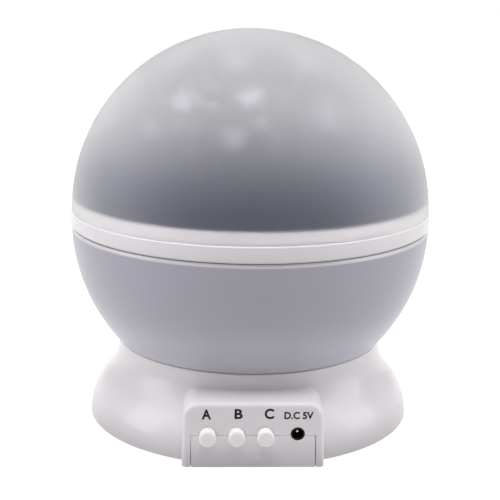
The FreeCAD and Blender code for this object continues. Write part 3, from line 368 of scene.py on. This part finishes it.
def frostedMaterial():
    material, tree, shader = startMaterial("frostedPlastic")
    height = placeAlong(tree, "Z")
    rim = coverFinish["rimTop"] * mm
    # painted shade: darker low down, paler up to lowTo, as if lit from above
    paintedShadeRise = rangeNode(tree, height, rim, coverFinish["lowTo"] * mm, smooth=True)
    body = mixColor(tree, paintedShadeRise, coverFinish["low"], coverFinish["color"])
    # painted light: the rim over the spigot paled so that band shows brighter
    rimStart = rim - coverFinish["rimBelow"] * mm
    rimEnd = rim + coverFinish["rimAbove"] * mm
    shade = mixColor(tree, rangeNode(tree, height, rimStart, rimEnd, smooth=True), coverFinish["rim"], body)
    fadeEnd = rim + coverFinish["rimFade"] * mm
    gloss = rangeNode(tree, height, rim, fadeEnd, coverFinish["rimRough"], coverFinish["roughness"])
    dressFrom(tree, shader, placeMoulded(tree, coverFinish, shade, gloss), coverFinish)
    return material


# the star dome's dark film, slightly uneven where it was drawn over the form
domeFinish = {
    "color": (0.014, 0.017, 0.034), "light": (0.035, 0.040, 0.066), "cloud": (60.0, 4.0),
    "cloudEdge": (0.35, 0.7), "haze": (240.0, 3.0), "roughness": (0.30, 0.44),
    "grain": 1400.0, "depth": 0.000006,
}


def domeMaterial():
    material, tree, shader = startMaterial("darkFilm")
    place = objectPlace(tree)
    cloud = rangeNode(tree, noiseNode(tree, place, *domeFinish["cloud"]), *domeFinish["cloudEdge"])
    shade = mixColor(tree, cloud, domeFinish["color"], domeFinish["light"])
    haze = patches(tree, *domeFinish["haze"], domeFinish["roughness"])
    dress(tree, shader, shade, haze, noiseNode(tree, place, domeFinish["grain"]), domeFinish["depth"])
    return material


# clear epoxy lamp
lensFinish = {
    "color": (0.86, 0.89, 0.94), "light": (0.96, 0.97, 0.98), "cloud": 300.0, "haze": (900.0, 2.0),
    "roughness": (0.05, 0.12), "ripple": (700.0, 1.0), "depth": 0.000003,
    "sockets": {"IOR": 1.54, "Transmission Weight": 0.85},
}


def lensMaterial():
    material, tree, shader = startMaterial("clearEpoxy")
    place = objectPlace(tree)
    cloud = noiseNode(tree, place, lensFinish["cloud"])
    shade = mixColor(tree, cloud, lensFinish["color"], lensFinish["light"])
    haze = patches(tree, *lensFinish["haze"], lensFinish["roughness"])
    dress(tree, shader, shade, haze, noiseNode(tree, place, *lensFinish["ripple"]), lensFinish["depth"])
    setInputs(shader, lensFinish["sockets"])
    return material


# circuit board: solder mask with copper tracks under it and tinned pads
boardFinish = {
    "mask": (0.010, 0.105, 0.035), "track": (0.025, 0.19, 0.06), "pad": (0.66, 0.64, 0.58),
    "trackCells": {"Scale": 420.0, "Randomness": 0.55}, "trackFold": 0.22, "trackEdge": (0.10, 0.12),
    "padCells": {"Scale": 260.0, "Randomness": 0.35}, "padEdge": (0.16, 0.13),
    "roughness": (0.30, 0.38), "depth": 0.00003,
}


def cellDistance(tree, settings, **kind):
    cells = addNode(tree, "ShaderNodeTexVoronoi", **kind)
    setInputs(cells, settings)
    tree.links.new(objectPlace(tree), cells.inputs["Vector"])
    return cells.outputs["Distance"]


def boardMaterial():
    material, tree, shader = startMaterial("solderMask")
    lines = cellDistance(tree, boardFinish["trackCells"], distance="MANHATTAN", feature="F2")
    folded = mathNode(tree, "PINGPONG", lines, boardFinish["trackFold"])
    track = rangeNode(tree, folded, *boardFinish["trackEdge"])
    dots = cellDistance(tree, boardFinish["padCells"], feature="F1")
    pad = rangeNode(tree, dots, *boardFinish["padEdge"])
    green = mixColor(tree, track, boardFinish["mask"], boardFinish["track"])
    shade = mixColor(tree, pad, green, boardFinish["pad"])
    gloss = rangeNode(tree, pad, 0, 1, *boardFinish["roughness"])
    dress(tree, shader, shade, gloss, mathNode(tree, "ADD", track, pad), boardFinish["depth"])
    tree.links.new(pad, shader.inputs["Metallic"])
    return material


# battery jacket along Y: a coloured wrap, a copper band at the button end, bare metal at both ends;
# an edge is where a mask starts and where it is full, in mm from the middle of the base
cellFinish = {
    "wrap": (0.03, 0.045, 0.075), "band": (0.52, 0.24, 0.09), "metal": (0.68, 0.67, 0.64),
    "bandEdge": (18.6, 18.7), "bandMetallic": 0.6, "tipEdge": (24.55, 24.65),
    "ringInner": (18.25, 18.3), "ringOuter": (18.7, 18.65),
    "scuffStretch": (500, 60, 500), "scuffDetail": 4.0, "scuffEdge": (0.4, 0.7), "scuff": (0.9, 1.15),
    "haze": (600.0, 3.0), "roughness": (0.29, 0.40), "grain": 900.0, "depth": 0.000008,
}


def cellMaterial():
    material, tree, shader = startMaterial("cellJacket")
    along = mathNode(tree, "ABSOLUTE", placeAlong(tree, "Y"))
    edges = {}
    for name in ("bandEdge", "ringInner", "ringOuter", "tipEdge"):
        start, full = cellFinish[name]
        edges[name] = rangeNode(tree, along, start * mm, full * mm)
    ring = mathNode(tree, "MULTIPLY", edges["ringInner"], edges["ringOuter"])
    metal = mathNode(tree, "MAXIMUM", edges["tipEdge"], ring)
    streaks = noiseNode(tree, stretched(tree, cellFinish["scuffStretch"]), 1.0, cellFinish["scuffDetail"])
    scuff = rangeNode(tree, streaks, *cellFinish["scuffEdge"], *cellFinish["scuff"])
    wrap = mixColor(tree, edges["bandEdge"], cellFinish["wrap"], cellFinish["band"])
    shade = mixColor(tree, metal, mixColor(tree, 1.0, wrap, scuff, "MULTIPLY"), cellFinish["metal"])
    haze = patches(tree, *cellFinish["haze"], cellFinish["roughness"])
    grain = noiseNode(tree, objectPlace(tree), cellFinish["grain"])
    dress(tree, shader, shade, haze, grain, cellFinish["depth"])
    copper = mathNode(tree, "MULTIPLY", edges["bandEdge"], cellFinish["bandMetallic"])
    tree.links.new(mathNode(tree, "MAXIMUM", metal, copper), shader.inputs["Metallic"])
    return material


materials["frosted_clear"] = frostedMaterial()
materials["dome_dark"] = domeMaterial()
materials["lamp_lens"] = lensMaterial()
materials["board_green"] = boardMaterial()
materials["cell_jacket"] = cellMaterial()
for name, node in nodes.items():
    node.data.materials.clear()
    node.data.materials.append(materials[slotOf[name]])
print("every node has its finish")

# printed lettering on the control box's front face, in mm
lettering = {
    "face": -58.1, "ink": 0.05, "sunk": 0.25,  # place and thickness of the ink, and the share of it sunk in
    "extrude": 0.5, "weight": 0.024, "swell": 0.008,  # in the font's own units
    "words": [  # word, centre across and up, height, width
        ("A", -15.0, 18.7, 3.45, 3.0),
        ("B", -4.75, 18.85, 3.35, 2.6),
        ("C", 5.05, 18.9, 3.5, 3.0),
        ("D.C 5V", 14.5, 18.35, 2.45, 9.3),
    ],
}
inkFinish = {
    "color": (0.003, 0.003, 0.004), "worn": (0.02, 0.02, 0.022), "wear": (1800.0, 3.0),
    "wearEdge": (0.55, 0.8), "haze": (900.0, 2.0), "roughness": (0.55, 0.68), "specular": 0.25,
    "grain": 2600.0, "depth": 0.000004,
}


def inkMaterial():
    material, tree, shader = startMaterial("printedInk")
    place = objectPlace(tree)
    thin = rangeNode(tree, noiseNode(tree, place, *inkFinish["wear"]), *inkFinish["wearEdge"])
    shade = mixColor(tree, thin, inkFinish["color"], inkFinish["worn"])
    haze = patches(tree, *inkFinish["haze"], inkFinish["roughness"])
    dress(tree, shader, shade, haze, noiseNode(tree, place, inkFinish["grain"]), inkFinish["depth"])
    shader.inputs["Specular IOR Level"].default_value = inkFinish["specular"]
    return material


def printWord(word, across, up, tall, wide, ink):
    curve = bpy.data.curves.new("word", "FONT")
    curve.body = word
    curve.extrude = lettering["extrude"]
    curve.offset = lettering["weight"]
    curve.bevel_depth = lettering["swell"]
    curve.align_x = "CENTER"
    flat = addObject("word", curve)
    bpy.context.view_layer.update()
    mesh = bpy.data.meshes.new_from_object(flat.evaluated_get(bpy.context.evaluated_depsgraph_get()))
    bpy.data.objects.remove(flat)
    spans = list(zip(*[vertex.co for vertex in mesh.vertices]))
    low = Vector([min(span) for span in spans])
    high = Vector([max(span) for span in spans])
    size = high - low
    fit = Matrix.Diagonal((wide * mm / size.x, tall * mm / size.y, lettering["ink"] * mm / size.z, 1))
    depth = lettering["face"] - lettering["sunk"] * lettering["ink"]
    centre = Matrix.Translation((across * mm, depth * mm, up * mm))
    upright = Matrix.Rotation(math.radians(90), 4, "X")
    mesh.transform(centre @ upright @ fit @ Matrix.Translation(-(low + high) / 2))
    mesh.materials.clear()
    mesh.materials.append(ink)
    label = addObject("label_" + "".join(c for c in word.lower() if c.isalnum()), mesh)
    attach(label, "base")


ink = inkMaterial()
for word, across, up, tall, wide in lettering["words"]:
    printWord(word, across, up, tall, wide, ink)
print("lettering printed")

# pale windows let into the dark dome: stars, crescents and dots, in rings from the flange up
windowPlan = {
    "centre": 73.7, "radius": 58.0,  # the dome's centre height and radius, in mm
    "proud": 0.22, "sunk": 0.15,
    "rings": [(32, 11, 5.0), (47, 10, 6.6), (63, 7, 7.0), (79, 3, 5.8)],  # elevation, count, size in mm
    "sway": 0.06, "tilt": 2.5, "sizes": (0.8, 1.1), "seed": 11,  # sway in radians, tilt in degrees
    "starPoints": 5, "notch": 0.5, "crescentSides": 28, "crescent": 0.4, "crescentEvery": 4,
    "dots": 90, "dotSides": 10, "dotSize": (0.7, 1.9), "dotsBetween": (0.40, 0.97), "gap": 1.2,
}
domeRadius = windowPlan["radius"] * mm


def disc(mesh, sides, radius, fan=True):
    made = bmesh.ops.create_circle(mesh, cap_ends=True, cap_tris=fan, segments=sides, radius=radius)
    return made["verts"]


def starShape(mesh, radius):
    corners = 2 * windowPlan["starPoints"]
    made = disc(mesh, corners, radius)
    for vertex in made:
        step = round(math.atan2(vertex.co.x, vertex.co.y) / math.radians(360 / corners))
        if step % 2:  # every other corner goes in
            vertex.co *= windowPlan["notch"]
    return made


def crescentShape(mesh, radius):
    made = disc(mesh, windowPlan["crescentSides"], radius, fan=False)
    for vertex in made:
        if vertex.co.x > 0:
            vertex.co.x *= -windowPlan["crescent"]
    bmesh.ops.triangulate(mesh, faces=list(made[0].link_faces))
    return made


def ontoDome(vertices, azimuth, elevation, spin):
    turn = Matrix.Rotation(azimuth, 3, "Z") @ Matrix.Rotation(-elevation, 3, "Y")
    swing = Matrix.Rotation(spin, 3, "Z")
    for vertex in vertices:
        flat = swing @ vertex.co
        outward = Vector((domeRadius, flat.x, flat.y)).normalized()
        vertex.co = turn @ outward * (domeRadius + windowPlan["proud"] * mm)


def outwardAt(azimuth, lift):
    return Vector((math.cos(azimuth) * math.cos(lift), math.sin(azimuth) * math.cos(lift), math.sin(lift)))


def ringShapes(mesh, draw):
    taken = []
    for ring, (elevation, count, size) in enumerate(windowPlan["rings"]):
        for index in range(count):
            sway = draw.uniform(-windowPlan["sway"], windowPlan["sway"])
            halfStep = 0.5 * (ring % 2)  # every other ring starts half a step round
            azimuth = math.tau * (index + halfStep) / count + sway
            lift = math.radians(elevation + draw.uniform(-windowPlan["tilt"], windowPlan["tilt"]))
            radius = size * mm * draw.uniform(*windowPlan["sizes"])
            shape = crescentShape if (index + ring) % windowPlan["crescentEvery"] == 1 else starShape
            ontoDome(shape(mesh, radius), azimuth, lift, draw.uniform(0, math.tau))
            taken.append((azimuth, lift, radius))
    return taken


def dotShapes(mesh, draw, taken):
    placed = 0
    while placed < windowPlan["dots"]:
        azimuth = draw.uniform(0, math.tau)
        lift = math.asin(draw.uniform(*windowPlan["dotsBetween"]))
        radius = draw.uniform(*windowPlan["dotSize"]) * mm
        here = outwardAt(azimuth, lift)
        gaps = [(here - outwardAt(a, b)).length * domeRadius - radius - r for a, b, r in taken]
        if min(gaps) < windowPlan["gap"] * mm:
            continue
        ontoDome(disc(mesh, windowPlan["dotSides"], radius), azimuth, lift, 0.0)
        taken.append((azimuth, lift, radius))
        placed += 1


def fixOrder(mesh):
    mesh.verts.index_update()
    count = len(mesh.verts)

    def rank(item):  # three corners tell every face from the others, two every edge
        number = 0
        for index in sorted(vertex.index for vertex in item.verts)[:3]:
            number = number * count + index
        return number

    mesh.edges.sort(key=rank)
    mesh.faces.sort(key=rank)


def starWindows():
    draw = random.Random(windowPlan["seed"])
    mesh = bmesh.new()
    dotShapes(mesh, draw, ringShapes(mesh, draw))
    grown = bmesh.ops.extrude_face_region(mesh, geom=mesh.faces[:])["geom"]
    sink = 1 - (windowPlan["proud"] + windowPlan["sunk"]) * mm / domeRadius
    for vertex in [item for item in grown if isinstance(item, bmesh.types.BMVert)]:
        vertex.co *= sink
    bmesh.ops.recalc_face_normals(mesh, faces=mesh.faces[:])
    bmesh.ops.translate(mesh, verts=mesh.verts[:], vec=(0, 0, windowPlan["centre"] * mm))
    fixOrder(mesh)  # the extrusion gives the side faces in another order each run
    return meshObject("star_windows", mesh)


windowFinish = {
    # the band pales the windows near the top as painted light, as if lit from above
    "color": (0.32, 0.32, 0.36), "bands": [(104.0, 118.0, (0.46, 0.46, 0.50))], "mottle": 0.05,
    "roughness": 0.50, "spread": 0.06, "grain": 1800.0, "marks": 0.1, "depth": 0.000004,
    "sockets": {"Specular IOR Level": 0.2},
}
windows = starWindows()
windows.data.materials.append(plasticMaterial("clearWindow", windowFinish))
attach(windows, "globe")
print("star windows set in the dome")

# camera in front, a little above and to the left of the middle: lengths in mm, pitch and roll in radians
cameraPlan = {
    "distance": 426.66, "height": 163.585, "pitch": 0.2420, "roll": 0.012, "side": 1.8,  # side in degrees
    "lens": 88.8, "sensor": 36, "shift": 0.00044, "clip": (0.01, 10),
}


def setCamera():
    lens = bpy.data.cameras.new("camera")
    lens.lens = cameraPlan["lens"]
    lens.sensor_width = cameraPlan["sensor"]
    lens.shift_x = cameraPlan["shift"]
    lens.clip_start, lens.clip_end = cameraPlan["clip"]
    camera = addObject("camera", lens)
    side = math.radians(cameraPlan["side"])
    distance = cameraPlan["distance"] * mm
    height = cameraPlan["height"] * mm
    place = Matrix.Translation((-distance * math.sin(side), -distance * math.cos(side), height))
    aim = Matrix.Rotation(-side, 4, "Z") @ Matrix.Rotation(math.radians(90) - cameraPlan["pitch"], 4, "X")
    camera.matrix_world = place @ aim @ Matrix.Rotation(cameraPlan["roll"], 4, "Z")
    bpy.context.scene.camera = camera


# soft boxes: place and size in metres, power in watts; the surround lights from all sides
studio = {
    "left": {"place": (-0.85, -0.12, 0.40), "size": (0.5, 0.7), "power": 3.2},
    "right": {"place": (0.85, -0.06, 0.40), "size": (0.5, 0.7), "power": 2.9},
    "top": {"place": (0.0, -0.225, 0.86), "size": (0.9, 0.34), "power": 6.1},
}
studioAim = (0, 0, 0.065)
surroundLevel = 0.16
floorPlan = {
    "half": 8.0, "color": (0.78, 0.78, 0.78), "seenColor": (0.5, 0.5, 0.5), "seenGlow": 0.94,
    "sockets": {"Roughness": 0.9, "Specular IOR Level": 0.0, "Emission Color": (1, 1, 1, 1)},
}


def setLights():
    for name, plan in studio.items():
        lamp = bpy.data.lights.new(name, "AREA")
        lamp.shape = "RECTANGLE"
        lamp.size, lamp.size_y = plan["size"]
        lamp.energy = plan["power"]
        holder = addObject(name, lamp)
        holder.location = plan["place"]
        aim = Vector(studioAim) - Vector(plan["place"])
        holder.rotation_euler = aim.to_track_quat("-Z", "Y").to_euler()


def seenRays(tree):
    rays = addNode(tree, "ShaderNodeLightPath").outputs
    seen = mathNode(tree, "ADD", rays["Is Camera Ray"], rays["Is Glossy Ray"], clamp=True)
    return mathNode(tree, "ADD", seen, rays["Is Transmission Ray"], clamp=True)


def setWorld():
    world = bpy.data.worlds.new("studioWorld")
    world.use_nodes = True
    tree = world.node_tree
    sky = tree.nodes["Background"]
    sky.inputs["Color"].default_value = (1, 1, 1, 1)
    tree.links.new(rangeNode(tree, seenRays(tree), 0, 1, surroundLevel, 1.0), sky.inputs["Strength"])
    bpy.context.scene.world = world


def setFloor():
    mesh = bmesh.new()
    bmesh.ops.create_grid(mesh, x_segments=1, y_segments=1, size=floorPlan["half"])
    floor = meshObject("studio_floor", mesh)
    material, tree, shader = startMaterial("paleFloor")
    seen = seenRays(tree)
    shade = mixColor(tree, seen, floorPlan["color"], floorPlan["seenColor"])
    glow = mathNode(tree, "MULTIPLY", seen, floorPlan["seenGlow"])
    tree.links.new(shade, shader.inputs["Base Color"])
    tree.links.new(glow, shader.inputs["Emission Strength"])
    setInputs(shader, floorPlan["sockets"])
    floor.data.materials.append(material)


setCamera()
setLights()
setWorld()
setFloor()
bpy.context.scene.view_settings.view_transform = "Standard"
print("camera and studio set")
